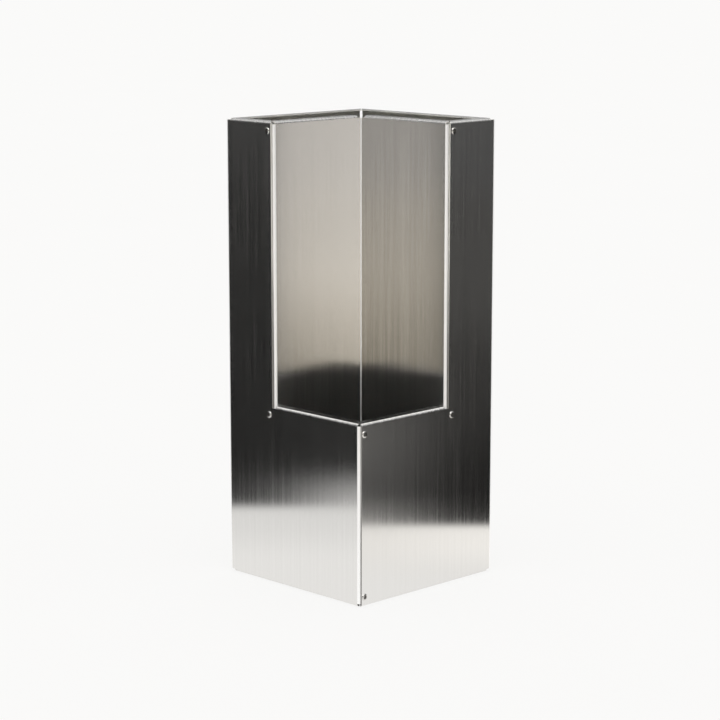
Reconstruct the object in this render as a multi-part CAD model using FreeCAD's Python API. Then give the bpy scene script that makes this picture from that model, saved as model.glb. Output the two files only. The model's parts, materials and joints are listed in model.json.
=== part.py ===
import FreeCAD, Part
import math
import os

# Umbrella stand in folded stainless sheet. Millimetres, +Z up.
# Origin: the floor, under the middle of the square body.
# The open corner of the stand points to +X -Y; the closed corner behind it points to -X +Y.

# Body
side = 206.0               # outer width of the square body
shell_height = 506.0       # height of the two outer shells
foot_proud = 1.0           # how far the foot pads lift the shells off the floor
sheet = 1.5                # thickness of every sheet
bend_outer = 2.5           # outer radius of every fold
return_width = 12.0        # width of the folded-in edges

# Cut-away corner
cut_width = 135.0          # width of the opening along each front wall
cut_height = 198.0         # height of the front apron
cut_notch = 5.0            # relief beside the opening's upright edges

# Corner reliefs
corner_zone = 6.5          # length at each body corner left without a folded-in edge
corner_drop = 1.5          # how far the body corners stop below the top edge
seam_drop = 2.6            # how far the front seam stops below the apron's edge
seam_lift = 3.0            # how far the seams start above the bottom edge
rear_seam_drop = 12.0      # how far the rear seam stops below the top edge
mitre_gap = 0.5            # half of the gap between two mitred edges

# Seams, where the left shell laps behind the right shell
seam_width = 15.0          # width of the lap
edge_clear = 2.8           # the right shell's raw edge, from the corner's outer plane

# Divider
divider_offset = 131.2     # from the open corner's outer planes to the divider's front faces
divider_lap = 20.0         # width of the laps behind the front walls
divider_fold_zone = 5.0    # length at the inner fold left without a folded-in edge
divider_end_zone = 3.0     # the same at the laps
divider_mitre = 2.5        # the mitre's offset at the laps
divider_floor_gap = 3.0    # water passes under the divider
lap_clear = 1.5            # the divider's laps stop this far above the pan's rim
lap_top_clear = 0.5        # and this far below the folds of the front walls' top edges

# Base pan
pan_wall = 25.0            # height of its rim above its underside
pan_clear = 0.3            # gap to the left shell's walls

# Foot pads
pad_radius = 10.0
pad_inset = 27.0           # from the body's outer planes to the pad's centre
pad_chamfer = 0.4

# Blind rivets
rivet_radius = 2.0
rivet_bore = 1.15
rivet_hole = 2.05          # hole in the sheets
rivet_head_radius = 3.7
rivet_head_rim = 0.25
rivet_head_height = 1.15
rivet_crown_width = 0.35   # flat ring round the bore, on top of the head
rivet_crown_drop = 0.25    # how far that ring slopes down into the bore
rivet_dome_lean = 0.25     # the dome's middle, outwards from halfway down the slope
rivet_dome_rise = 0.78     # and its height as a share of the head's
rivet_bulb_radius = 2.9
rivet_bulb_length = 3.2
rivet_bulb_neck = 0.2      # the bulb starts this much wider than the shank
rivet_bulb_middle = 0.4    # its widest place, as a share of its length
mandrel_radius = 1.1
mandrel_head_radius = 1.9
mandrel_head_length = 1.4
mandrel_shoulder = 0.8     # the stem head's shoulder, as a share of its radius
mandrel_shoulder_end = 0.7  # and as a share of its length
mandrel_recess = 0.35      # the broken stem ends this far below the wall's outer face
rivet_setback = 10.0       # from a level edge to the rivet's centre, at the laps
rivet_seam_setback = 11.5  # the same at the front seam
rivet_low = 10.0           # the lowest rivets, above the bottom edge
rivet_from_cut = 5.5       # from the opening's upright edges
rivet_from_corner = 6.9    # from the corner's outer plane, at the seams

# Levels and radii worked out from the above
half = side / 2
bend_inner = bend_outer - sheet
bottom = foot_proud
top = foot_proud + shell_height
cut_top = foot_proud + cut_height
pan_bottom = bottom + sheet
pan_top = pan_bottom + pan_wall
flat_bottom = bottom + bend_outer
flat_top = top - bend_outer
flat_cut = cut_top - bend_outer


def vec(x, y, z=0.0):
    return FreeCAD.Vector(x, y, z)


def box(u0, u1, v0, v1, z0, z1):
    return Part.makeBox(u1 - u0, v1 - v0, z1 - z0, vec(u0, v0, z0))


def union(shapes):
    return shapes[0].multiFuse(shapes[1:]).removeSplitter()


def prism(points, height):
    """Extrude a closed outline given as 3-D points."""
    wire = Part.makePolygon(list(points) + [points[0]])
    return Part.Face(wire).extrude(height)


# A wall is drawn in its own frame: u runs to the right and v inwards, seen from outside.
wall_places = {
    "front_left": ((-half, -half), 0),
    "front_right": ((half, -half), 90),
    "back_right": ((half, half), 180),
    "back_left": ((-half, half), 270),
}


def moved(shape, placement):
    result = shape.copy()
    result.Placement = placement.multiply(result.Placement)
    return result


def place(shape, origin, turn):
    return moved(shape, FreeCAD.Placement(vec(*origin), FreeCAD.Rotation(vec(0, 0, 1), turn)))


def quarter(centre, start, radius):
    """A quarter arc about centre, anticlockwise from the start angle in degrees."""
    angles = [math.radians(start + step) for step in (0, 45, 90)]
    points = [centre + vec(math.cos(a), math.sin(a)) * radius for a in angles]
    return Part.Arc(*points).toShape()


def fold_face(centre, start):
    """The section of a quarter fold about centre, in plan."""
    outer = quarter(centre, start, bend_outer)
    inner = quarter(centre, start, bend_inner)
    ends = [Part.makeLine(a.Point, b.Point) for a, b in zip(outer.Vertexes, inner.Vertexes)]
    return Part.Face(Part.Wire(Part.__sortEdges__([outer, inner] + ends)))


def upright_fold(u, v, start, z0, z1):
    """A vertical fold: start is the angle where the quarter begins."""
    return fold_face(vec(u, v), start).extrude(vec(0, 0, z1 - z0)).translated(vec(0, 0, z0))


def return_edge(u0, u1, level, upper, mitre0=None, mitre1=None):
    """A folded-in edge from u0 to u1, its outside at the given level.

    mitre0 and mitre1 are where the 45 degree mitre lines start at v = 0.
    """
    # The section is drawn in x = v, y = z and then stood up, so that it extrudes along u.
    rise = -bend_outer if upper else bend_outer
    section = fold_face(vec(bend_outer, level + rise), 90 if upper else 180)
    strip_z = level - sheet if upper else level
    strip = Part.makePlane(return_width - bend_outer, sheet, vec(bend_outer, strip_z))
    stand = FreeCAD.Placement(vec(u0, 0, 0), FreeCAD.Rotation(vec(1, 1, 1), 120))
    edge = union([moved(face, stand).extrude(vec(u1 - u0, 0, 0)) for face in (section, strip)])
    reach = return_width + 1
    outline = [vec(u0 - 1, -1), vec(u1 + 1, -1)]
    if mitre1 is not None:
        outline[1] = vec(mitre1 + 1 - mitre_gap, -1)
        outline.append(vec(mitre1 - reach - mitre_gap, reach))
    else:
        outline.append(vec(u1 + 1, reach))
    if mitre0 is not None:
        outline[0] = vec(mitre0 - 1 + mitre_gap, -1)
        outline.append(vec(mitre0 + reach + mitre_gap, reach))
    else:
        outline.append(vec(u0 - 1, reach))
    low = min(level, level + rise) - 1
    mask = prism([p + vec(0, 0, low) for p in outline], vec(0, 0, bend_outer + 2))
    return edge.common(mask)


def corner_tab(u0, u1, z1):
    """The flat bit of wall beside a body corner, above where the folded-in edge starts."""
    return box(u0, u1, 0, sheet, flat_top, z1)


def front_left_wall():
    opening = side - cut_width
    seam_start = side - sheet - bend_outer
    return [
        box(bend_outer, opening, 0, sheet, flat_bottom, flat_top),
        box(opening, seam_start, 0, sheet, flat_bottom, flat_cut),
        corner_tab(bend_outer, corner_zone, top - corner_drop),
        return_edge(corner_zone, opening, top, True, 0, opening + 1),
        return_edge(corner_zone, seam_start, bottom, False, 0, side),
        return_edge(opening + cut_notch, seam_start, cut_top, True, None, side),
        upright_fold(seam_start, bend_outer, 270, bottom + seam_lift, cut_top - seam_drop),
        box(side - 2 * sheet, side - sheet, bend_outer, seam_width, bottom + seam_lift, cut_top - seam_drop),
    ]


def back_left_wall():
    seam_end = sheet + bend_outer
    seam_top = top - rear_seam_drop
    return [
        box(seam_end, side - bend_outer, 0, sheet, flat_bottom, flat_top),
        corner_tab(side - corner_zone, side - bend_outer, top - corner_drop),
        return_edge(seam_end, side - corner_zone, top, True, 0, side),
        return_edge(seam_end, side - corner_zone, bottom, False, 0, side),
        upright_fold(seam_end, bend_outer, 180, bottom + seam_lift, seam_top),
        box(sheet, 2 * sheet, bend_outer, seam_width, bottom + seam_lift, seam_top),
    ]


def front_right_wall():
    opening = cut_width
    return [
        box(opening, side - bend_outer, 0, sheet, flat_bottom, flat_top),
        box(edge_clear, opening, 0, sheet, flat_bottom, flat_cut),
        corner_tab(side - corner_zone, side - bend_outer, top - corner_drop),
        return_edge(opening, side - corner_zone, top, True, opening - 1, side),
        return_edge(edge_clear, side - corner_zone, bottom, False, 0, side),
        return_edge(edge_clear, opening - cut_notch, cut_top, True, 0, None),
    ]


def back_right_wall():
    return [
        box(bend_outer, side - edge_clear, 0, sheet, flat_bottom, flat_top),
        corner_tab(bend_outer, corner_zone, top - corner_drop),
        return_edge(corner_zone, side - edge_clear, top, True, 0, side),
        return_edge(corner_zone, side - edge_clear, bottom, False, 0, side),
    ]


def body_corner():
    return upright_fold(bend_outer, bend_outer, 180, flat_bottom, top - corner_drop)


def shell(first, first_name, second, second_name):
    """Two walls in one folded sheet, the fold between them at the second wall's start."""
    pieces = [place(piece, *wall_places[first_name]) for piece in first()]
    pieces += [place(piece, *wall_places[second_name]) for piece in second()]
    pieces.append(place(body_corner(), *wall_places[second_name]))
    return union(pieces)


def divider_leg(mirrored):
    """One leg of the divider, u from the front wall's outer plane to the inner fold."""
    fold_start = divider_offset - bend_inner
    lap_end = sheet + bend_outer
    lap_bottom = pan_top + lap_clear
    leg_bottom = pan_bottom + sheet + divider_floor_gap
    clear_of_pan = 3 * sheet + 2 * pan_clear
    pieces = [
        box(lap_end, fold_start, 0, sheet, lap_bottom, flat_top),
        box(clear_of_pan, fold_start, 0, sheet, leg_bottom, lap_bottom),
        upright_fold(lap_end, bend_outer, 180, lap_bottom, flat_top),
        box(sheet, 2 * sheet, bend_outer, divider_lap, lap_bottom, flat_top - lap_top_clear),
        return_edge(divider_end_zone, divider_offset - divider_fold_zone, top, True, -divider_mitre),
    ]
    leg = union(pieces)
    if mirrored:
        leg = leg.mirror(vec(divider_offset / 2, 0), vec(1, 0, 0))
    return leg


def make_divider():
    inner_x = half - divider_offset
    inner_y = divider_offset - half
    leg_bottom = pan_bottom + sheet + divider_floor_gap
    left = place(divider_leg(False), (inner_x, -half), 90)
    right = place(divider_leg(True), (inner_x, inner_y), 0)
    fold = upright_fold(inner_x + bend_inner, inner_y - bend_inner, 90, leg_bottom, flat_top)
    return union([left, right, fold])


def make_base_pan():
    low = -half + sheet + pan_clear
    high = half - 2 * sheet
    outer = box(low, high, low, high, pan_bottom, pan_top + bend_outer)
    inner = box(low + sheet, high - sheet, low + sheet, high - sheet, pan_bottom + sheet, pan_top + bend_outer)
    shapes = []
    for block, radius in ((outer, bend_outer), (inner, bend_inner)):
        upright = [e for e in block.Edges if abs(e.tangentAt(e.FirstParameter).z) > 0.5]
        block = block.makeFillet(radius, upright)
        level = [e for e in block.Edges if e.BoundBox.ZMax < block.BoundBox.ZMin + 0.01]
        shapes.append(block.makeFillet(radius, level))
    rim = box(low - 1, high + 1, low - 1, high + 1, pan_top, pan_top + 2 * bend_outer)
    return shapes[0].cut(shapes[1]).cut(rim)


def make_foot_pad(x, y):
    pad = Part.makeCylinder(pad_radius, pan_bottom, vec(x, y, 0))
    low = [e for e in pad.Edges if e.BoundBox.ZMax < 0.01]
    return pad.makeChamfer(pad_chamfer, low)


def spun(points, arc_middle=None):
    """Turn an outline of (radius, height) points about the rivet's axis.

    arc_middle replaces the last straight side with an arc through that point.
    """
    corners = [vec(r, 0, h) for r, h in points]
    edges = [Part.makeLine(a, b) for a, b in zip(corners, corners[1:])]
    if arc_middle:
        middle = vec(arc_middle[0], 0, arc_middle[1])
        edges.append(Part.Arc(corners[-1], middle, corners[0]).toShape())
    else:
        edges.append(Part.makeLine(corners[-1], corners[0]))
    face = Part.Face(Part.Wire(edges))
    return face.revolve(vec(0, 0), vec(0, 0, 1), 360)


def rivet_sleeve(grip):
    """Domed head on the wall's outer face at height 0, and the bulb behind the last sheet."""
    crown = rivet_bore + rivet_crown_width
    middle = (rivet_head_radius + crown) / 2
    head = spun(
        [
            (crown, rivet_head_height),
            (rivet_bore, rivet_head_height - rivet_crown_drop),
            (rivet_bore, 0),
            (rivet_head_radius, 0),
            (rivet_head_radius, rivet_head_rim),
        ],
        (middle + rivet_dome_lean, rivet_head_height * rivet_dome_rise),
    )
    shank = spun([(rivet_bore, -grip), (rivet_radius, -grip), (rivet_radius, 0), (rivet_bore, 0)])
    far = -grip - rivet_bulb_length
    bulb = spun(
        [
            (rivet_radius, far),
            (rivet_bore, far),
            (rivet_bore, -grip),
            (rivet_radius + rivet_bulb_neck, -grip),
        ],
        (rivet_bulb_radius, -grip - rivet_bulb_length * rivet_bulb_middle),
    )
    return union([head, shank, bulb])


def rivet_mandrel(grip):
    """The broken stem that stays in the sleeve, with its head against the bulb."""
    far = -grip - rivet_bulb_length
    end = far - mandrel_head_length
    stem = spun([(0, far), (mandrel_radius, far), (mandrel_radius, -mandrel_recess), (0, -mandrel_recess)])
    head = spun(
        [(mandrel_radius / 2, end), (0, end), (0, far), (mandrel_head_radius, far)],
        (mandrel_head_radius * mandrel_shoulder, far - mandrel_head_length * mandrel_shoulder_end),
    )
    return union([stem, head])


def rivet_list():
    """Each rivet: name, wall, place along the wall, height, thickness that it clamps."""
    two = 2 * sheet
    three = 3 * sheet
    lap = cut_width + rivet_from_cut
    high = top - rivet_setback
    middle = cut_top - rivet_setback
    seam_high = cut_top - rivet_seam_setback
    low = bottom + rivet_low
    rear = side - rivet_from_corner
    rear_high = top - rear_seam_drop - rivet_setback
    return [
        ("rivet_front_seam_upper", "front_right", rivet_from_corner, seam_high, two),
        ("rivet_front_seam_lower", "front_right", rivet_from_corner, low, three),
        ("rivet_left_lap_upper", "front_left", side - lap, high, two),
        ("rivet_left_lap_lower", "front_left", side - lap, middle, two),
        ("rivet_right_lap_upper", "front_right", lap, high, two),
        ("rivet_right_lap_lower", "front_right", lap, middle, two),
        ("rivet_rear_seam_upper", "back_right", rear, rear_high, two),
        ("rivet_rear_seam_middle", "back_right", rear, (rear_high + low) / 2, two),
        ("rivet_rear_seam_lower", "back_right", rear, low, three),
    ]


def on_wall(shape, wall, u, z):
    """Put a shape made about +Z on a wall, its +Z pointing outwards."""
    tip = FreeCAD.Placement(vec(u, 0, z), FreeCAD.Rotation(vec(1, 0, 0), 90))
    return place(moved(shape, tip), *wall_places[wall])


def drilled(shape, rivets):
    holes = []
    for name, wall, u, z, grip in rivets:
        drill = Part.makeCylinder(rivet_hole, grip + 2, vec(0, 0, -grip - 1))
        holes.append(on_wall(drill, wall, u, z))
    return shape.cut(holes)


def main():
    os.makedirs("parts", exist_ok=True)
    rivets = rivet_list()
    nodes = {
        "left_shell": drilled(shell(back_left_wall, "back_left", front_left_wall, "front_left"), rivets),
        "right_shell": drilled(shell(front_right_wall, "front_right", back_right_wall, "back_right"), rivets),
        "divider": drilled(make_divider(), rivets),
        "base_pan": drilled(make_base_pan(), rivets),
    }
    reach = half - pad_inset
    for name, x, y in (("open", 1, -1), ("left", -1, -1), ("right", 1, 1), ("rear", -1, 1)):
        nodes["foot_pad_" + name] = make_foot_pad(x * reach, y * reach)
    for name, wall, u, z, grip in rivets:
        nodes[name] = on_wall(rivet_sleeve(grip), wall, u, z)
        nodes[name + "_mandrel"] = on_wall(rivet_mandrel(grip), wall, u, z)
    for name, shape in nodes.items():
        solids = shape.Solids
        if len(solids) == 1:
            shape = solids[0]
        shape.exportStep("parts/" + name + ".step")
        print(name, "solids", len(solids), "valid", shape.isValid(), "volume", round(shape.Volume, 1))


main()
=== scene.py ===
import json
import math

import bmesh
import bpy
from mathutils import Matrix, Vector

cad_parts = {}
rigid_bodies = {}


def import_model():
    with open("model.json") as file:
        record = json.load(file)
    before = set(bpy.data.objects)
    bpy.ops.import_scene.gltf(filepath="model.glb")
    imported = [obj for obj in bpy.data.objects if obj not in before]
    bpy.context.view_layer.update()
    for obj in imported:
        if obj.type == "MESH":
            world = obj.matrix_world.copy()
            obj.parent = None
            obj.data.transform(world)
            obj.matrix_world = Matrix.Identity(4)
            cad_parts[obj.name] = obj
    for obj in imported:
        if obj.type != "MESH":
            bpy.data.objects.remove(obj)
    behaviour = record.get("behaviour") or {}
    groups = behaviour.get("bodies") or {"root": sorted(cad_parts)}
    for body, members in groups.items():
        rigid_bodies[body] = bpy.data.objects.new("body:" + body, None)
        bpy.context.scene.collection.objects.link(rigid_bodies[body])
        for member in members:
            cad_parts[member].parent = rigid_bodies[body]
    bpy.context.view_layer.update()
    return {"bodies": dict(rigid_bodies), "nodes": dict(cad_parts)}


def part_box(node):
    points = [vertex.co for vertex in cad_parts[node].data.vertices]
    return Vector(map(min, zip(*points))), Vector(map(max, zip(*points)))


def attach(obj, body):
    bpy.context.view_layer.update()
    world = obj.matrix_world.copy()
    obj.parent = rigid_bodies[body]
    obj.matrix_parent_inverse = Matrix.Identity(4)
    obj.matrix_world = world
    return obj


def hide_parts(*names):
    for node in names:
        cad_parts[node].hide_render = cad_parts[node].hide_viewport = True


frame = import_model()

body = next(iter(frame["bodies"]))
millimetre = 0.001

# ---- what the frame says about the stand ----
leftLow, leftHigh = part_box("left_shell")
rightLow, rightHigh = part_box("right_shell")
dividerLow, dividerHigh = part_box("divider")
panLow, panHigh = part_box("base_pan")
half = -leftLow.x                 # half the width of the square body
side = 2 * half
bottom = leftLow.z
top = leftHigh.z
sheet = half - leftHigh.x         # thickness of the sheet
edgeClear = half + rightLow.x     # the right shell's raw edge, from the corner's plane

sheetMetal = {
    "bendRadius": 2.5 * millimetre,      # outside of every fold
    "bendSteps": 8,
    "returnWidth": 12 * millimetre,      # folded-in edges
    "cornerZone": 6.5 * millimetre,      # no folded-in edge this close to a body corner
    "cornerDrop": 1.5 * millimetre,
    "seamWidth": 15 * millimetre,
    "seamLift": 3 * millimetre,
    "rearSeamDrop": 12 * millimetre,
    "mitreGap": 0.5 * millimetre,
    "edgeRound": 0.16 * millimetre,      # deburred edges
    "edgeSteps": 2,
    "edgeAngle": 35,                     # an edge that turns by more degrees is deburred
    "weldDistance": 0.002 * millimetre,
    "levelMark": 0.6,                    # the value of "folded" on a level fold
    "uprightMark": 1.0,                  # and on an upright one
}

opening = {
    "width": 135 * millimetre,           # along each front wall
    "apron": 198 * millimetre,           # height of the sheet below it
    "notch": 5 * millimetre,             # relief beside its upright edges
}

dividerLap = 20 * millimetre             # behind the front walls
dividerSizes = {
    "offset": half - dividerLow.x - dividerLap,      # from the open corner's outer planes
    "lapWidth": dividerLap,
    "lapBottom": panHigh.z + 1.5 * millimetre,
    "lapTopClear": 0.5 * millimetre,
    "legStart": 5.1 * millimetre,        # below the laps the legs stand clear of the pan's rim
    "foldZone": 5 * millimetre,
    "mitre": 2.5 * millimetre,
}

cutTop = bottom + opening["apron"]
bend = sheetMetal["bendRadius"]
flatBottom = bottom + bend
flatTop = top - bend
flatCut = cutTop - bend


# ---- shader trees ----
class Signal:
    # wraps one output socket, so that shader maths reads as an expression
    def __init__(self, recipe, socket):
        self.recipe = recipe
        self.socket = socket

    def math(self, operation, first, second=0.0):
        return self.recipe.node("ShaderNodeMath", {"operation": operation}, {0: first, 1: second})

    def __add__(self, other):
        return self.math("ADD", self, other)

    def __radd__(self, other):
        return self.math("ADD", other, self)

    def __sub__(self, other):
        return self.math("SUBTRACT", self, other)

    def __rsub__(self, other):
        return self.math("SUBTRACT", other, self)

    def __mul__(self, other):
        return self.math("MULTIPLY", self, other)

    def __rmul__(self, other):
        return self.math("MULTIPLY", other, self)

    def ramp(self, low, high, start=0.0, end=1.0):
        # a smooth step from start to end as the signal goes from low to high
        values = {"Value": self, "From Min": low, "From Max": high, "To Min": start, "To Max": end}
        return self.recipe.node("ShaderNodeMapRange", {"interpolation_type": "SMOOTHSTEP"}, values)


class Recipe:
    # one material and its node tree
    def __init__(self, name):
        self.material = bpy.data.materials.new(name)
        self.material.use_nodes = True
        self.tree = self.material.node_tree
        self.tree.nodes.clear()

    def node(self, kind, settings=None, sockets=None, output=0):
        made = self.tree.nodes.new(kind)
        for key, value in (settings or {}).items():
            setattr(made, key, value)
        for key, value in (sockets or {}).items():
            if isinstance(value, Signal):
                self.tree.links.new(value.socket, made.inputs[key])
            else:
                made.inputs[key].default_value = value
        return Signal(self, made.outputs[output])

    def place(self, scale=(1, 1, 1), source="Object"):
        # coordinates of the surface, stretched
        if source == "Object":
            where = self.node("ShaderNodeTexCoord", output="Object")
        else:
            where = self.node("ShaderNodeUVMap", {"uv_map": source})
        return self.node("ShaderNodeMapping", None, {"Vector": where, "Scale": scale})

    def noise(self, scale, detail=2.0, roughness=0.5, source="Object"):
        where = self.place(scale, source)
        values = {"Vector": where, "Scale": 1.0, "Detail": detail, "Roughness": roughness}
        return self.node("ShaderNodeTexNoise", None, values)

    def attribute(self, name):
        return self.node("ShaderNodeAttribute", {"attribute_name": name}, output="Fac")

    def bump(self, height, strength, depth, beneath=None):
        values = {"Strength": strength, "Distance": depth, "Height": height}
        if beneath:
            values["Normal"] = beneath
        return self.node("ShaderNodeBump", None, values)

    def split(self, vector):
        parts = self.node("ShaderNodeSeparateXYZ", None, {"Vector": vector})
        outputs = parts.socket.node.outputs
        return [Signal(self, outputs[axis]) for axis in "XYZ"]

    def mixColour(self, share, first, second, blend="MIX"):
        settings = {"data_type": "RGBA", "blend_type": blend}
        return self.node("ShaderNodeMix", settings, {0: share, 6: first, 7: second}, 2)

    def finish(self, shader):
        out = self.tree.nodes.new("ShaderNodeOutputMaterial")
        self.tree.links.new(shader.socket, out.inputs["Surface"])
        return self.material

    def principled(self, values):
        return self.finish(self.node("ShaderNodeBsdfPrincipled", None, values))


def grey(level, tint=(1.0, 1.0, 1.0)):
    return tuple(level * part for part in tint) + (1.0,)


brushedLook = {
    "light": grey(0.73, (1.0, 0.990, 0.972)),
    "dark": grey(0.69, (1.0, 0.988, 0.965)),
    "roughness": 0.125,
    "roughnessSpread": 0.085,    # how much rougher the deepest brush lines are
    "wearRoughness": 0.02,       # and the worn patches
    "anisotropic": 0.86,
    "linesPerMetre": (1500, 6),  # across the brush lines and along them
    "bandsPerMetre": (260, 1.2),
    "bump": 0.06,
    "bumpDepth": 0.02 * millimetre,
    "foldTone": grey(0.97, (1.0, 0.996, 0.985)),     # painted highlight: the upright folds are painted brighter
    "foldHaze": 0.46,            # share of their light that is scattered evenly
    "foldRoughness": 0.33,
    "lean": 0.0,                 # slope that the shading gets on both sides of the inner fold
}


def makeBrushedSteel(name, look, source):
    # vertical brush lines: fast across the sheet, slow along it
    recipe = Recipe(name)

    def brush(perMetre, detail, roughness):
        across, along = perMetre
        scale = (across, across, along) if source == "Object" else (across, along, 1)
        return recipe.noise(scale, detail, roughness, source)

    lines = brush(look["linesPerMetre"], 3.0, 0.65)
    bands = brush(look["bandsPerMetre"], 2.0, 0.5)
    wear = recipe.noise((7, 7, 5), 4.0, 0.6).ramp(0.52, 0.70)
    tone = (lines * 0.55 + bands * 0.45).ramp(0.30, 0.70)
    colour = recipe.mixColour(tone, look["dark"], look["light"])
    deep = (lines * 0.75 + bands * 0.25).ramp(0.38, 0.70)
    rough = look["roughness"] + look["roughnessSpread"] * deep + look["wearRoughness"] * wear
    folded = recipe.attribute("folded")
    # painted highlight: the upright folds are given a brighter colour
    highlightedFold = folded.ramp(sheetMetal["levelMark"], sheetMetal["uprightMark"])
    colour = recipe.mixColour(highlightedFold, colour, look["foldTone"])
    rough = rough + folded * (look["foldRoughness"] - look["roughness"])
    bump = recipe.bump(lines, look["bump"], look["bumpDepth"])
    if look["lean"]:
        x, y = recipe.split(recipe.place())[:2]
        bump = recipe.bump((y - x) * look["lean"], 1.0, 1.0, bump)
    return recipe.principled({
        "Base Color": colour,
        "Metallic": 1.0 - look["foldHaze"] * highlightedFold,
        "Roughness": rough,
        "Anisotropic": look["anisotropic"],
        "Normal": bump,
    })


reverseLook = {
    "cloudy": grey(0.74, (1, 0.985, 0.94)),
    "clear": grey(0.84, (1, 0.99, 0.955)),
    "stained": grey(0.34, (1, 0.98, 0.95)),
    "stainTop": (0.26, 0.42),    # the painted shade fades between these heights above the bottom
    "stainWander": 0.06,
    "roughness": 0.50,
    "cloudRoughness": 0.08,
    "cleanRoughness": 0.22,
    "bump": 0.15,
    "bumpDepth": 0.03 * millimetre,
}


def makeReverseSteel():
    # the mill finish on the sheet's unbrushed side, with painted shade that darkens it low down
    recipe = Recipe("reverseSteel")
    look = reverseLook
    cloud = recipe.noise((14, 14, 9), 4.0, 0.6)
    fine = recipe.noise((700, 700, 500))
    height = recipe.split(recipe.place())[2]
    fadeLow, fadeHigh = look["stainTop"]
    # painted shade: the colour darkens towards the bottom
    abovePaintedShade = (height + look["stainWander"] * cloud).ramp(bottom + fadeLow, bottom + fadeHigh)
    plain = recipe.mixColour(cloud.ramp(0.35, 0.65), look["cloudy"], look["clear"])
    return recipe.principled({
        "Base Color": recipe.mixColour(abovePaintedShade, look["stained"], plain),
        "Metallic": 1.0,
        "Roughness": look["roughness"] + look["cloudRoughness"] * cloud + look["cleanRoughness"] * abovePaintedShade,
        "Normal": recipe.bump(fine, look["bump"], look["bumpDepth"]),
    })


rivetLook = {
    "plain": grey(0.66, (1, 0.98, 0.95)),
    "spotted": grey(0.54, (1, 0.97, 0.93)),
    "hub": grey(0.17, (1, 0.96, 0.90)),  # painted shade: the head's centre is painted this dark
    "roughness": 0.16,
    "roughnessSpread": 0.10,
    "bump": 0.10,
    "bumpDepth": 0.04 * millimetre,
}


def makeRivetSteel():
    recipe = Recipe("rivetSteel")
    look = rivetLook
    turned = recipe.noise((900, 900, 900), 3.0, 0.6)
    spots = recipe.noise((260, 260, 260)).ramp(0.45, 0.7)
    colour = recipe.mixColour(spots, look["plain"], look["spotted"])
    return recipe.principled({
        # painted shade: the head's centre gets a dark colour
        "Base Color": recipe.mixColour(recipe.attribute("hub"), colour, look["hub"]),
        "Metallic": 1.0,
        "Roughness": look["roughness"] + look["roughnessSpread"] * turned,
        "Normal": recipe.bump(turned, look["bump"], look["bumpDepth"]),
    })


mandrelLook = {
    "dark": grey(0.07, (1, 0.93, 0.84)),
    "bright": grey(0.20, (1, 0.95, 0.88)),
    "roughness": 0.45,
    "roughnessSpread": 0.2,
    "bump": 0.6,
    "bumpDepth": 0.1 * millimetre,
}


def makeMandrelSteel():
    # a torn break, painted very dark as painted shade inside the bore
    recipe = Recipe("mandrelSteel")
    look = mandrelLook
    torn = recipe.noise((1800, 1800, 1800), 4.0, 0.7)
    return recipe.principled({
        "Base Color": recipe.mixColour(torn.ramp(0.35, 0.65), look["dark"], look["bright"]),
        "Metallic": 1.0,
        "Roughness": look["roughness"] + look["roughnessSpread"] * torn,
        "Normal": recipe.bump(torn, look["bump"], look["bumpDepth"]),
    })


padLook = {
    "rubber": grey(0.018),
    "dust": grey(0.06, (1, 0.97, 0.93)),
    "roughness": 0.72,
    "roughnessSpread": 0.12,
    "bump": 0.4,
    "bumpDepth": 0.1 * millimetre,
}


def makePadRubber():
    recipe = Recipe("padRubber")
    look = padLook
    fine = recipe.noise((1400, 1400, 1400), 3.0, 0.6)
    dust = recipe.noise((160, 160, 160), 4.0, 0.6).ramp(0.5, 0.75)
    return recipe.principled({
        "Base Color": recipe.mixColour(dust, look["rubber"], look["dust"]),
        "Roughness": look["roughness"] + look["roughnessSpread"] * fine,
        "Normal": recipe.bump(fine, look["bump"], look["bumpDepth"]),
    })


brushedSheet = makeBrushedSteel("brushedSheet", brushedLook, "grain")
brushedDivider = makeBrushedSteel("brushedDivider", dict(brushedLook, lean=-0.030), "grain")
brushedPan = makeBrushedSteel("brushedPan", brushedLook, "Object")
reverseSteel = makeReverseSteel()
rivetSteel = makeRivetSteel()
mandrelSteel = makeMandrelSteel()
padRubber = makePadRubber()
print("finishes made")


# ---- folded sheets ----
# A wall's own frame: across runs to the right and inward goes in, seen from outside.
walls = {
    "frontLeft": (Vector((-half, -half, 0)), 0),
    "frontRight": (Vector((half, -half, 0)), 90),
    "backRight": (Vector((half, half, 0)), 180),
    "backLeft": (Vector((-half, half, 0)), 270),
}
dividerFace = half - dividerSizes["offset"]
walls["dividerLeft"] = (Vector((dividerFace, -half, 0)), 90)
walls["dividerRight"] = (Vector((dividerFace, -dividerFace, 0)), 0)


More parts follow.
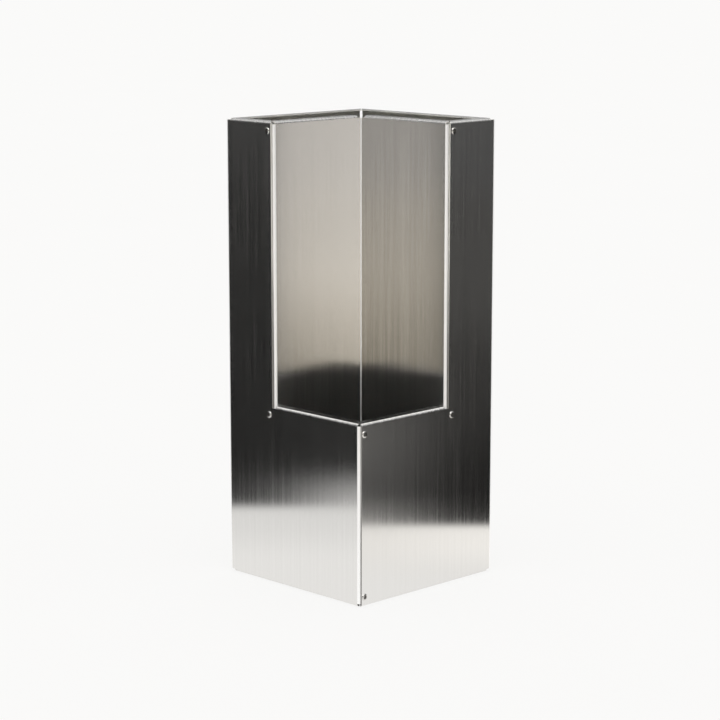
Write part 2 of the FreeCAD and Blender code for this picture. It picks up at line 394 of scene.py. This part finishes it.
class FoldedSheet:
    # collects the outer surface of one folded sheet, with its unfolded layout as the grain map
    def __init__(self, name):
        self.name = name
        self.mesh = bmesh.new()
        self.grain = self.mesh.loops.layers.uv.new("grain")
        self.folded = self.mesh.faces.layers.float.new("folded")
        self.start = 0.0

    def face(self, wall, corners, folded=0.0):
        # corners are (across, inward, height, grain across, grain along)
        origin, turn = walls[wall]
        spin = Matrix.Rotation(math.radians(turn), 4, "Z")
        points = [origin + spin @ Vector(corner[:3]) for corner in corners]
        made = self.mesh.faces.new([self.mesh.verts.new(point) for point in points])
        made[self.folded] = folded
        for loop, corner in zip(made.loops, corners):
            loop[self.grain].uv = (self.start + corner[3], corner[4])

    def panel(self, wall, outline):
        self.face(wall, [(across, 0, height, across, height) for across, height in outline])

    def strip(self, wall, rows):
        # rows of two corners, joined one to the next; the rows of a fold lie within its radius
        for lower, upper in zip(rows, rows[1:]):
            inFold = max(lower[0][1], upper[0][1]) < bend * 1.01
            folded = sheetMetal["levelMark"] if inFold else 0.0
            self.face(wall, [lower[0], lower[1], upper[1], upper[0]], folded)

    def returnEdge(self, wall, first, last, level, upward, mitre0=None, mitre1=None):
        # a fold and a narrow flange inwards; a mitre starts at the outer plane and runs at 45 degrees
        gap = sheetMetal["mitreGap"]
        width = sheetMetal["returnWidth"]
        sense = 1 if upward else -1
        flat = level - sense * bend

        def ends(inward):
            low = first if mitre0 is None else max(first, mitre0 + inward + gap)
            high = last if mitre1 is None else min(last, mitre1 - inward - gap)
            return low, high

        def row(inward, height, travel):
            low, high = ends(inward)
            along = flat + sense * travel
            return [(low, inward, height, low, along), (high, inward, height, high, along)]

        rows = []
        steps = sheetMetal["bendSteps"]
        for step in range(steps + 1):
            angle = math.pi / 2 * step / steps
            inward = bend * (1 - math.cos(angle))
            rows.append(row(inward, flat + sense * bend * math.sin(angle), bend * angle))
        turns = {width}
        if mitre0 is not None:
            turns.add(first - mitre0 - gap)
        if mitre1 is not None:
            turns.add(mitre1 - gap - last)
        arc = bend * math.pi / 2
        for inward in sorted(turn for turn in turns if bend < turn <= width):
            rows.append(row(inward, level, arc + inward - bend))
        if not upward:
            rows = [list(pair) for pair in reversed(rows)]
        self.strip(wall, rows)

    def uprightFold(self, wall, centre, radius, angles, low, high, grainStart):
        # a vertical fold from the first angle to the last, as seen from above
        steps = sheetMetal["bendSteps"]
        sweep = math.radians(angles[1] - angles[0])
        columns = []
        for step in range(steps + 1):
            angle = math.radians(angles[0]) + sweep * step / steps
            across = centre[0] + radius * math.cos(angle)
            inward = centre[1] + radius * math.sin(angle)
            grainAcross = grainStart + radius * abs(sweep) * step / steps
            columns.append([(across, inward, height, grainAcross, height) for height in (low, high)])
        for left, right in zip(columns, columns[1:]):
            self.face(wall, [left[0], right[0], right[1], left[1]], sheetMetal["uprightMark"])

    def lap(self, wall, across, nearer, farther, low, high, grainNear, facing):
        # a flat lap square to the wall; facing is the side its outer face looks to along the wall
        grainFar = grainNear + facing * (farther - nearer)
        corners = [
            (across, nearer, low, grainNear, low), (across, farther, low, grainFar, low),
            (across, farther, high, grainFar, high), (across, nearer, high, grainNear, high),
        ]
        if facing < 0:
            corners = [corners[1], corners[0], corners[3], corners[2]]
        self.face(wall, corners)

    def build(self, material, *nodes):
        bmesh.ops.remove_doubles(self.mesh, verts=self.mesh.verts, dist=sheetMetal["weldDistance"])
        data = bpy.data.meshes.new(self.name)
        self.mesh.to_mesh(data)
        self.mesh.free()
        draft = bpy.data.objects.new(self.name + "Draft", data)
        bpy.context.scene.collection.objects.link(draft)
        for polygon in data.polygons:
            polygon.use_smooth = True
        thick = draft.modifiers.new("thickness", "SOLIDIFY")
        thick.thickness = sheet
        thick.offset = -1
        thick.use_even_offset = True
        thick.material_offset = 1
        thick.material_offset_rim = 1
        data.materials.append(material)
        data.materials.append(reverseSteel)
        rounding = draft.modifiers.new("deburred", "BEVEL")
        rounding.width = sheetMetal["edgeRound"]
        rounding.segments = sheetMetal["edgeSteps"]
        rounding.limit_method = "ANGLE"
        rounding.angle_limit = math.radians(sheetMetal["edgeAngle"])
        rounding.use_clamp_overlap = False
        normals = draft.modifiers.new("flatPanels", "WEIGHTED_NORMAL")
        normals.weight = 100
        normals.keep_sharp = False
        view = bpy.context.evaluated_depsgraph_get()
        final = bpy.data.meshes.new_from_object(draft.evaluated_get(view), depsgraph=view)
        bpy.data.objects.remove(draft)
        return finishPiece(self.name, final, (material, reverseSteel), "brushed_sheet", *nodes)


def finishPiece(name, data, materials, slot, *nodes):
    data.name = name
    sides = [polygon.material_index for polygon in data.polygons]
    data.materials.clear()
    for material in materials:
        data.materials.append(material)
    data.polygons.foreach_set("material_index", [min(side, len(materials) - 1) for side in sides])
    piece = bpy.data.objects.new(name, data)
    bpy.context.scene.collection.objects.link(piece)
    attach(piece, body)
    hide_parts(*nodes)
    return piece


def cornerFold(shell, wall):
    # the body corner at the wall's left end
    high = top - sheetMetal["cornerDrop"]
    shell.uprightFold(wall, (bend, bend), bend, (180, 270), flatBottom, high, -bend * math.pi / 2)


def makeLeftShell():
    shell = FoldedSheet("leftShell")
    zone = sheetMetal["cornerZone"]
    lapWidth = sheetMetal["seamWidth"]
    tab = top - sheetMetal["cornerDrop"]
    seamFoot = bottom + sheetMetal["seamLift"]
    seamEnd = sheet + bend
    rearTop = top - sheetMetal["rearSeamDrop"]
    quarter = bend * math.pi / 2

    # back left wall, from the rear seam to the left corner
    shell.start = -side
    shell.panel("backLeft", [
        (seamEnd, flatBottom), (side - zone, flatBottom), (side - bend, flatBottom), (side - bend, tab),
        (side - zone, tab), (side - zone, flatTop), (seamEnd, flatTop), (seamEnd, rearTop),
        (seamEnd, seamFoot),
    ])
    shell.returnEdge("backLeft", seamEnd, side - zone, top, True, 0, side)
    shell.returnEdge("backLeft", seamEnd, side - zone, bottom, False, 0, side)
    grain = seamEnd - quarter
    shell.uprightFold("backLeft", (seamEnd, bend), bend, (180, 270), seamFoot, rearTop, grain)
    shell.lap("backLeft", sheet, bend, lapWidth, seamFoot, rearTop, grain, -1)

    # front left wall, from the left corner to the front seam
    shell.start = 0.0
    column = side - opening["width"]
    notchEnd = column + opening["notch"]
    seamStart = side - sheet - bend
    cornerFold(shell, "frontLeft")
    shell.panel("frontLeft", [
        (bend, flatBottom), (zone, flatBottom), (seamStart, flatBottom), (seamStart, seamFoot),
        (seamStart, flatCut), (notchEnd, flatCut), (column, flatCut), (column, flatTop),
        (zone, flatTop), (zone, tab), (bend, tab),
    ])
    shell.returnEdge("frontLeft", zone, column, top, True, 0, column + millimetre)
    shell.returnEdge("frontLeft", zone, seamStart, bottom, False, 0, side)
    shell.returnEdge("frontLeft", notchEnd, seamStart, cutTop, True, None, side)
    shell.uprightFold("frontLeft", (seamStart, bend), bend, (270, 360), seamFoot, flatCut, seamStart)
    shell.lap("frontLeft", side - sheet, bend, lapWidth, seamFoot, flatCut, seamStart + quarter, 1)
    return shell.build(brushedSheet, "left_shell")


def makeRightShell():
    shell = FoldedSheet("rightShell")
    zone = sheetMetal["cornerZone"]
    tab = top - sheetMetal["cornerDrop"]
    column = opening["width"]
    notchEnd = column - opening["notch"]
    farEdge = side - edgeClear

    # front right wall, from the front seam to the right corner
    shell.start = -side
    shell.panel("frontRight", [
        (edgeClear, flatBottom), (side - zone, flatBottom), (side - bend, flatBottom), (side - bend, tab),
        (side - zone, tab), (side - zone, flatTop), (column, flatTop), (column, flatCut),
        (notchEnd, flatCut), (edgeClear, flatCut),
    ])
    shell.returnEdge("frontRight", column, side - zone, top, True, column - millimetre, side)
    shell.returnEdge("frontRight", edgeClear, side - zone, bottom, False, 0, side)
    shell.returnEdge("frontRight", edgeClear, notchEnd, cutTop, True, 0, None)

    # back right wall, from the right corner to the rear seam
    shell.start = 0.0
    cornerFold(shell, "backRight")
    shell.panel("backRight", [
        (bend, flatBottom), (zone, flatBottom), (farEdge, flatBottom), (farEdge, flatTop),
        (zone, flatTop), (zone, tab), (bend, tab),
    ])
    shell.returnEdge("backRight", zone, farEdge, top, True, 0, side)
    shell.returnEdge("backRight", zone, farEdge, bottom, False, 0, side)
    return shell.build(brushedSheet, "right_shell")


def makeDivider():
    divider = FoldedSheet("dividerSheet")
    size = dividerSizes
    offset = size["offset"]
    zone = size["foldZone"]
    mitre = size["mitre"]
    lapWidth = size["lapWidth"]
    inner = bend - sheet                     # inside radius of a fold
    lapEnd = sheet + bend                    # where the left lap's fold ends, and the right one's starts
    lapStart = offset - lapEnd
    lapLow = size["lapBottom"]
    lapHigh = flatTop - size["lapTopClear"]
    legLow = dividerLow.z
    legStart = size["legStart"]
    foldStart = offset - inner
    quarter = bend * math.pi / 2

    divider.start = -offset
    divider.panel("dividerLeft", [
        (legStart, legLow), (foldStart, legLow), (foldStart, flatTop), (offset - zone, flatTop),
        (lapEnd, flatTop), (lapEnd, lapHigh), (lapEnd, lapLow), (legStart, lapLow),
    ])
    divider.returnEdge("dividerLeft", lapEnd, offset - zone, top, True, -mitre, None)
    grain = lapEnd - quarter
    divider.uprightFold("dividerLeft", (lapEnd, bend), bend, (180, 270), lapLow, lapHigh, grain)
    divider.lap("dividerLeft", sheet, bend, lapWidth, lapLow, lapHigh, grain, -1)
    divider.uprightFold("dividerLeft", (foldStart, -inner), inner, (90, 0), legLow, flatTop, foldStart)

    # the grain runs on round the inner fold
    divider.start = inner * (math.pi / 2 - 2)
    divider.panel("dividerRight", [
        (inner, legLow), (offset - legStart, legLow), (offset - legStart, lapLow), (lapStart, lapLow),
        (lapStart, lapHigh), (lapStart, flatTop), (zone, flatTop), (inner, flatTop),
    ])
    divider.returnEdge("dividerRight", zone, lapStart, top, True, None, offset + mitre)
    divider.uprightFold("dividerRight", (lapStart, bend), bend, (270, 360), lapLow, lapHigh, lapStart)
    divider.lap("dividerRight", offset - sheet, bend, lapWidth, lapLow, lapHigh, lapStart + quarter, 1)
    return divider.build(brushedDivider, "divider")


makeLeftShell()
makeRightShell()
makeDivider()
print("folded sheets made")


# ---- blind rivets ----
rivetSizes = {
    "bore": 1.15 * millimetre,
    "shank": 2.0 * millimetre,
    "head": 3.7 * millimetre,
    "rim": 0.25 * millimetre,
    "rimTaper": 0.06 * millimetre,       # the rim narrows by this much towards the wall
    "dome": 1.15 * millimetre,
    "crown": 0.35 * millimetre,          # flat ring round the bore
    "crownDrop": 0.25 * millimetre,
    "browIn": 0.62 * millimetre,         # where the dome turns down to the rim
    "browDrop": 0.34 * millimetre,
    "hub": 2.5 * millimetre,             # within this radius the head gets painted shade
    "bulbLength": 3.2 * millimetre,
    "bulbNeck": 0.15 * millimetre,
    "tailTaper": 0.1 * millimetre,
    "bulbArch": -0.28,                   # how far the bulb stands out, as a share of its length
    "stem": 1.1 * millimetre,
    "stemHead": 1.9 * millimetre,
    "stemHeadLength": 1.4 * millimetre,
    "recess": 0.35 * millimetre,         # the broken stem ends this far inside
    "breakHollow": 0.12 * millimetre,
    "around": 40,
    "seed": 7,
}


def arcPoints(start, end, lean, steps):
    # points from start to end on an arch that stands out by lean of its span
    middle = []
    run = end - start
    normal = Vector((run.y, -run.x))
    for step in range(1, steps):
        share = step / steps
        middle.append(start + run * share + normal * lean * math.sin(math.pi * share))
    return middle


def sleeveProfile(grip):
    # closed outline of (radius, height); height 0 is the wall's outer face
    size = rivetSizes
    far = -grip - size["bulbLength"]
    bore = size["bore"]
    crown = Vector((bore + size["crown"], size["dome"]))
    brow = Vector((size["head"] - size["browIn"], size["dome"] - size["browDrop"]))
    edge = Vector((size["head"], size["rim"]))
    foot = Vector((size["head"] - size["rimTaper"], 0.0))
    neck = Vector((size["shank"], -grip))
    tail = Vector((size["shank"] - size["tailTaper"], far))
    points = [Vector((bore, size["dome"] - size["crownDrop"])), crown]
    points += arcPoints(crown, brow, -0.01, 4)
    points += [brow]
    points += arcPoints(brow, edge, -0.09, 6)
    points += [edge, foot, Vector((size["shank"], 0.0)), neck]
    points += arcPoints(neck + Vector((size["bulbNeck"], 0)), tail, size["bulbArch"], 8)
    points += [tail, Vector((bore, far))]
    return points


def stemProfile(grip):
    # open outline from the broken end to the stem's head
    size = rivetSizes
    stem = size["stem"]
    recess = size["recess"]
    far = -grip - size["bulbLength"]
    end = far - size["stemHeadLength"]
    start = Vector((size["stemHead"], far))
    tip = Vector((stem * 0.4, end))
    points = [Vector((0, -recess - size["breakHollow"])), Vector((stem * 0.55, -recess))]
    points += [Vector((stem * 0.97, -recess * 1.3)), Vector((stem, -recess * 2))]
    points += [Vector((stem, far)), start]
    points += arcPoints(start, tip, -0.16, 6)
    points += [tip, Vector((0, end))]
    return points


def lathe(name, profile, closed):
    # turns an outline about +Z
    mesh = bmesh.new()
    hub = mesh.faces.layers.float.new("hub")
    around = rivetSizes["around"]
    rings = []
    for point in profile:
        if point.x < 1e-7:
            rings.append([mesh.verts.new((0, 0, point.y))] * around)
            continue
        ring = []
        for step in range(around):
            angle = 2 * math.pi * step / around
            ring.append(mesh.verts.new((point.x * math.cos(angle), point.x * math.sin(angle), point.y)))
        rings.append(ring)
    pairs = list(zip(rings, rings[1:]))
    if closed:
        pairs.append((rings[-1], rings[0]))
    for upper, lower in pairs:
        for step in range(around):
            after = (step + 1) % around
            corners = [upper[step], lower[step], lower[after], upper[after]]
            made = mesh.faces.new(list(dict.fromkeys(corners)))
            # faces within this radius get painted shade
            made[hub] = float(max(corner.co.xy.length for corner in corners) < rivetSizes["hub"])
    bmesh.ops.recalc_face_normals(mesh, faces=mesh.faces)
    data = bpy.data.meshes.new(name)
    mesh.to_mesh(data)
    mesh.free()
    for polygon in data.polygons:
        polygon.use_smooth = True
    made = bpy.data.objects.new(name, data)
    bpy.context.scene.collection.objects.link(made)
    return made


def rivetPlace(node):
    # the point on the wall's outer face under the head, and the way out
    low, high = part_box(node)
    middle = (low + high) / 2
    if high.x > half:
        return Vector((half, middle.y, middle.z)), Vector((1, 0, 0))
    if low.y < -half:
        return Vector((middle.x, -half, middle.z)), Vector((0, -1, 0))
    return Vector((middle.x, half, middle.z)), Vector((0, 1, 0))


def makeSettingTree():
    # sets one turned part on every point, spun at random about its own axis
    tree = bpy.data.node_groups.new("setRivets", "GeometryNodeTree")
    kinds = {"Places": "Geometry", "Part": "Object", "Finish": "Material", "Seed": "Int"}
    for name, kind in kinds.items():
        tree.interface.new_socket(name, in_out="INPUT", socket_type="NodeSocket" + kind)
    tree.interface.new_socket("Set", in_out="OUTPUT", socket_type="NodeSocketGeometry")
    add = tree.nodes.new
    inlet = add("NodeGroupInput").outputs
    outlet = add("NodeGroupOutput")
    part = add("GeometryNodeObjectInfo")
    outward = add("GeometryNodeInputNamedAttribute")
    outward.data_type = "FLOAT_VECTOR"
    outward.inputs["Name"].default_value = "outward"
    aim = add("FunctionNodeAlignRotationToVector")
    aim.axis = "Z"
    spin = add("FunctionNodeRandomValue")
    spin.data_type = "FLOAT_VECTOR"
    spin.inputs["Min"].default_value = (0, 0, 0)
    spin.inputs["Max"].default_value = (0, 0, 2 * math.pi)
    turn = add("FunctionNodeEulerToRotation")
    both = add("FunctionNodeRotateRotation")
    both.rotation_space = "LOCAL"
    instance = add("GeometryNodeInstanceOnPoints")
    realize = add("GeometryNodeRealizeInstances")
    finish = add("GeometryNodeSetMaterial")
    for source, target in (
            (inlet["Part"], part.inputs["Object"]),
            (inlet["Seed"], spin.inputs["Seed"]),
            (inlet["Places"], instance.inputs["Points"]),
            (inlet["Finish"], finish.inputs["Material"]),
            (outward.outputs["Attribute"], aim.inputs["Vector"]),
            (spin.outputs["Value"], turn.inputs["Euler"]),
            (aim.outputs["Rotation"], both.inputs["Rotation"]),
            (turn.outputs["Rotation"], both.inputs["Rotate By"]),
            (part.outputs["Geometry"], instance.inputs["Instance"]),
            (both.outputs["Rotation"], instance.inputs["Rotation"]),
            (instance.outputs["Instances"], realize.inputs["Geometry"]),
            (realize.outputs["Geometry"], finish.inputs["Geometry"]),
            (finish.outputs["Geometry"], outlet.inputs["Set"])):
        tree.links.new(source, target)
    return tree


settingTree = makeSettingTree()


def setRivets(name, part, nodes, material, slot):
    places = [rivetPlace(node.replace("_mandrel", "")) for node in nodes]
    data = bpy.data.meshes.new(name)
    data.from_pydata([place for place, way in places], [], [])
    outward = data.attributes.new("outward", "FLOAT_VECTOR", "POINT")
    outward.data.foreach_set("vector", [number for place, way in places for number in way])
    draft = bpy.data.objects.new(name + "Draft", data)
    bpy.context.scene.collection.objects.link(draft)
    setting = draft.modifiers.new("setting", "NODES")
    setting.node_group = settingTree
    wanted = {"Part": part, "Finish": material, "Seed": rivetSizes["seed"]}
    for item in settingTree.interface.items_tree:
        if item.in_out == "INPUT" and item.name in wanted:
            setting[item.identifier] = wanted[item.name]
    view = bpy.context.evaluated_depsgraph_get()
    final = bpy.data.meshes.new_from_object(draft.evaluated_get(view), depsgraph=view)
    draft.modifiers.clear()
    bpy.data.objects.remove(draft)
    bpy.data.objects.remove(part)
    return finishPiece(name, final, (material,), slot, *nodes)


def makeRivets():
    sleeves = sorted(n for n in frame["nodes"] if n.startswith("rivet_") and not n.endswith("_mandrel"))
    lower = [n for n in sleeves if n.endswith("seam_lower")]
    others = [n for n in sleeves if n not in lower]
    for name, nodes, sheets in (("TwoSheets", others, 2), ("ThreeSheets", lower, 3)):
        grip = sheets * sheet
        stems = [n + "_mandrel" for n in nodes]
        sleeve = lathe("sleeve", sleeveProfile(grip), True)
        setRivets("rivets" + name, sleeve, nodes, rivetSteel, "rivet_steel")
        stem = lathe("stem", stemProfile(grip), False)
        setRivets("rivetStems" + name, stem, stems, mandrelSteel, "mandrel_steel")


makeRivets()
print("rivets set")

# ---- pieces that keep their own shape ----
kept = [("base_pan", brushedPan)]
kept += [(node, padRubber) for node in frame["nodes"] if node.startswith("foot_pad")]
for node, material in kept:
    piece = frame["nodes"][node]
    piece.data.materials.clear()
    piece.data.materials.append(material)


# ---- studio ----
studio = {
    "frontAzimuth": 45.0,        # the open corner's side
    "domeRadius": 9.0,
    "floorReach": 40.0,
    "floorTone": grey(0.962, (1.0, 0.997, 0.989)),
    "floorSpeck": grey(0.956, (1.0, 0.997, 0.989)),
    "floorMatt": 0.12,           # share of the floor that takes shadow
    "worldTone": (1.0, 0.997, 0.99, 1.0),
    "world": 1.0,
    "paperReach": 3.0,
    "paper": 1.08,               # the lit floor as the metal sees it
    "paperLeft": 0.440,          # how far it reaches to both sides
    "paperRight": 0.345,
    "backdrop": 0.25,
    "topLight": 2.8,
    "topBehind": 0.43,
}


def square(reach):
    return [(-reach, -reach, 0), (reach, -reach, 0), (reach, reach, 0), (-reach, reach, 0)]


def stageMesh(name, corners, material):
    data = bpy.data.meshes.new(name)
    data.from_pydata(corners, [], [tuple(range(len(corners)))])
    data.materials.append(material)
    made = bpy.data.objects.new(name, data)
    bpy.context.scene.collection.objects.link(made)
    return made


def onlyInMetal(thing):
    thing.visible_camera = False
    thing.visible_diffuse = False
    thing.visible_shadow = False
    thing.visible_transmission = False
    thing.visible_volume_scatter = False


def glow(name, makeLight):
    recipe = Recipe(name)
    level, tint = makeLight(recipe)
    light = recipe.node("ShaderNodeVectorMath", {"operation": "SCALE"}, {0: tint, "Scale": level})
    material = recipe.finish(recipe.node("ShaderNodeEmission", None, {"Color": light, "Strength": 1.0}))
    material.cycles.emission_sampling = "NONE"
    return material


def stageAxes(recipe, unit=False):
    # distance to the right, away behind and up, as seen from the open corner's side
    where = recipe.node("ShaderNodeTexCoord", output="Object")
    if unit:
        where = recipe.node("ShaderNodeVectorMath", {"operation": "NORMALIZE"}, {0: where})
    turned = math.radians(studio["frontAzimuth"])
    axes = [(math.cos(turned), math.sin(turned), 0), (-math.sin(turned), math.cos(turned), 0), (0, 0, 1)]
    project = {"operation": "DOT_PRODUCT"}
    return [recipe.node("ShaderNodeVectorMath", project, {0: where, 1: axis}, "Value") for axis in axes]


frontLight = {
    "base": 0.15,                # level that both sides' light is added to
    "left": 1.52,
    "leftFade": 0.06,
    "right": 0.52,
}


def frontLevel(right, spread):
    # what stands in front of the open corner: lighter on its left
    left = frontLight["left"] * right.ramp(0.11 * spread, -0.25 * spread)
    left = left - frontLight["leftFade"] * right.ramp(-0.14 * spread, -0.26 * spread)
    return frontLight["base"] + left + frontLight["right"] * right.ramp(0.09 * spread, 0.27 * spread)


domeTones = {
    "left": (0.021, 0.028),      # level near the floor, and its rise above
    "right": (0.060, 0.022, 0.024),
    "high": 0.16,                # the rise of both sides towards the top
    "front": 0.86,
    "frontSpread": 0.55,
    "frontShade": 0.85,          # how much of the light is taken away above the front
    "frontTint": (1.0, 0.965, 0.925, 1.0),
}


def domeLight(recipe):
    # dark to both sides, a pale sweep behind, light in front of the open corner and overhead
    right, behind, height = stageAxes(recipe, True)
    tones = domeTones
    leftSide = tones["left"][0] + tones["left"][1] * height.ramp(-0.10, 0.02)
    rightSide = tones["right"][0] + tones["right"][1] * height.ramp(-0.14, -0.06)
    rightSide = rightSide + tones["right"][2] * height.ramp(-0.06, 0.02)
    sides = leftSide + (rightSide - leftSide) * right.ramp(-0.3, 0.3)
    sides = sides + tones["high"] * height.ramp(0.02, 0.26)
    front = behind.ramp(-0.16, -0.48) * height.ramp(0.08, 0.0)
    shade = behind.ramp(-0.45, -0.85) * height.ramp(0.0, 0.08)
    back = behind.ramp(0.55, 0.80) * height.ramp(-0.02, 0.03)
    overhead = height.ramp(0.42, 0.62)
    above = studio["topBehind"] + (studio["topLight"] - studio["topBehind"]) * behind.ramp(0.05, -0.35)
    level = sides * (1 - front) * (1 - shade * tones["frontShade"])
    level = level + front * tones["front"] * frontLevel(right, tones["frontSpread"])
    level = level + studio["backdrop"] * back * (1 - overhead) + above * overhead
    return level, recipe.mixColour(front, grey(1.0), tones["frontTint"])


paperTones = {
    "leftTail": (0.02, 0.58),    # level just past the paper's edge, and its rise in front of the stand
    "rightTail": (0.02, 0.26),
    "rightGlow": 0.15,
    "leftFloor": 0.020,          # level far out
    "rightFloor": 0.012,
    "rightFar": 0.060,
    "leftDip": 0.10,
    "rightLift": 0.10,
    "opening": 3.0,              # how fast the paper widens in front
    "tintLeft": (1.0, 0.993, 0.980, 1.0),
    "tintRight": (1.0, 0.978, 0.945, 1.0),
    "tintNearFront": (1.0, 0.925, 0.80, 1.0),
    "tintFarFront": (1.0, 0.955, 0.89, 1.0),
    "tintFrontRight": (1.0, 0.955, 0.855, 1.0),
}


def paperLight(recipe):
    # bright round the stand, falling off to both sides; another light far in front
    right, behind, height = stageAxes(recipe)
    tones = paperTones
    near = behind.ramp(-0.01, -0.17)
    wider = tones["opening"] * behind.ramp(-0.30, -1.2)
    leftEdge = (right + wider).ramp(-studio["paperLeft"] - 0.024, -studio["paperLeft"] + 0.030)
    leftTail = right.ramp(-0.68, -0.46) * (tones["leftTail"][0] + tones["leftTail"][1] * near)
    rightEdge = (right - wider).ramp(studio["paperRight"] + 0.020, studio["paperRight"] - 0.02)
    rightTail = right.ramp(0.53, 0.33) * (tones["rightTail"][0] + tones["rightTail"][1] * near)
    rightTail = rightTail + tones["rightGlow"] * near * right.ramp(1.6, 0.85) * right.ramp(0.10, 0.85)
    level = (leftEdge * rightEdge) * studio["paper"] * (1 - tones["leftDip"] * right.ramp(-0.18, -0.36))
    level = level * (1 + tones["rightLift"] * right.ramp(0.12, 0.26) * (1 - near))
    tails = (1 - leftEdge) * (leftTail + tones["leftFloor"])
    rightFloor = tones["rightFloor"] + tones["rightFar"] * right.ramp(0.6, 2.3)
    tails = tails + (1 - rightEdge) * (rightTail + rightFloor)
    far = behind.ramp(-0.7, -1.1) * right.ramp(1.5, 0.9) * right.ramp(-1.2, -0.7)
    fade = behind.ramp(-0.9, -2.3, 0.72, 1.0) * behind.ramp(-2.3, -2.8, 1.0, 0.86)
    total = (level + tails) * (1 - far) + frontLevel(right, 1.0) * fade * far
    plain = recipe.mixColour(right.ramp(0.05, 0.30), tones["tintLeft"], tones["tintRight"])
    warm = recipe.mixColour(behind.ramp(-0.9, -2.6), tones["tintNearFront"], tones["tintFarFront"])
    warm = recipe.mixColour(right.ramp(-0.10, 0.05), warm, tones["tintFrontRight"], "MULTIPLY")
    return total, recipe.mixColour(far, plain, warm)


def makeStudio():
    recipe = Recipe("floorPaper")
    tone = recipe.mixColour(recipe.noise((3, 3, 3)), studio["floorTone"], studio["floorSpeck"])
    lit = recipe.node("ShaderNodeEmission", None, {"Color": tone, "Strength": 1.0})
    matt = recipe.node("ShaderNodeBsdfDiffuse", None, {"Color": tone})
    mixed = recipe.node("ShaderNodeMixShader", None, {0: studio["floorMatt"], 1: lit, 2: matt})
    floorMaterial = recipe.finish(mixed)
    floorMaterial.cycles.emission_sampling = "NONE"
    floor = stageMesh("studioFloor", square(studio["floorReach"]), floorMaterial)
    floor.visible_glossy = False

    # the lit paper under the stand, seen only in the metal
    paper = stageMesh("litPaper", square(studio["paperReach"]), glow("litPaper", paperLight))
    onlyInMetal(paper)

    dome = bpy.data.objects.new("studioDome", bpy.data.meshes.new("studioDome"))
    mesh = bmesh.new()
    bmesh.ops.create_icosphere(mesh, subdivisions=4, radius=studio["domeRadius"])
    bmesh.ops.reverse_faces(mesh, faces=mesh.faces)
    mesh.to_mesh(dome.data)
    mesh.free()
    dome.data.materials.append(glow("studioDome", domeLight))
    bpy.context.scene.collection.objects.link(dome)
    onlyInMetal(dome)

    world = bpy.data.worlds.new("softRoom")
    world.use_nodes = True
    background = world.node_tree.nodes["Background"]
    background.inputs["Color"].default_value = studio["worldTone"]
    background.inputs["Strength"].default_value = studio["world"]
    bpy.context.scene.world = world
    bpy.context.scene.view_settings.view_transform = "Standard"


camera = {
    "azimuth": 45.36,
    "elevation": 10.52,
    "distance": 2.473,
    "aimHeight": 0.2407,
    "aimSide": -0.0008,          # to the right of the stand's middle
    "lens": 112.03,
    "sensor": 36,
}


def makeCamera():
    turned = math.radians(camera["azimuth"])
    raised = math.radians(camera["elevation"])
    level = math.cos(raised)
    back = Vector((math.sin(turned) * level, -math.cos(turned) * level, math.sin(raised)))
    sideways = Vector((math.cos(turned), math.sin(turned), 0))
    data = bpy.data.cameras.new("standCamera")
    data.sensor_width = camera["sensor"]
    data.lens = camera["lens"]
    data.clip_end = 100
    made = bpy.data.objects.new("standCamera", data)
    aim = sideways * camera["aimSide"] + Vector((0, 0, camera["aimHeight"]))
    made.location = aim + back * camera["distance"]
    made.rotation_mode = "QUATERNION"
    made.rotation_quaternion = (-back).to_track_quat("-Z", "Y")
    bpy.context.scene.collection.objects.link(made)
    bpy.context.scene.camera = made


makeStudio()
makeCamera()
print("studio made")
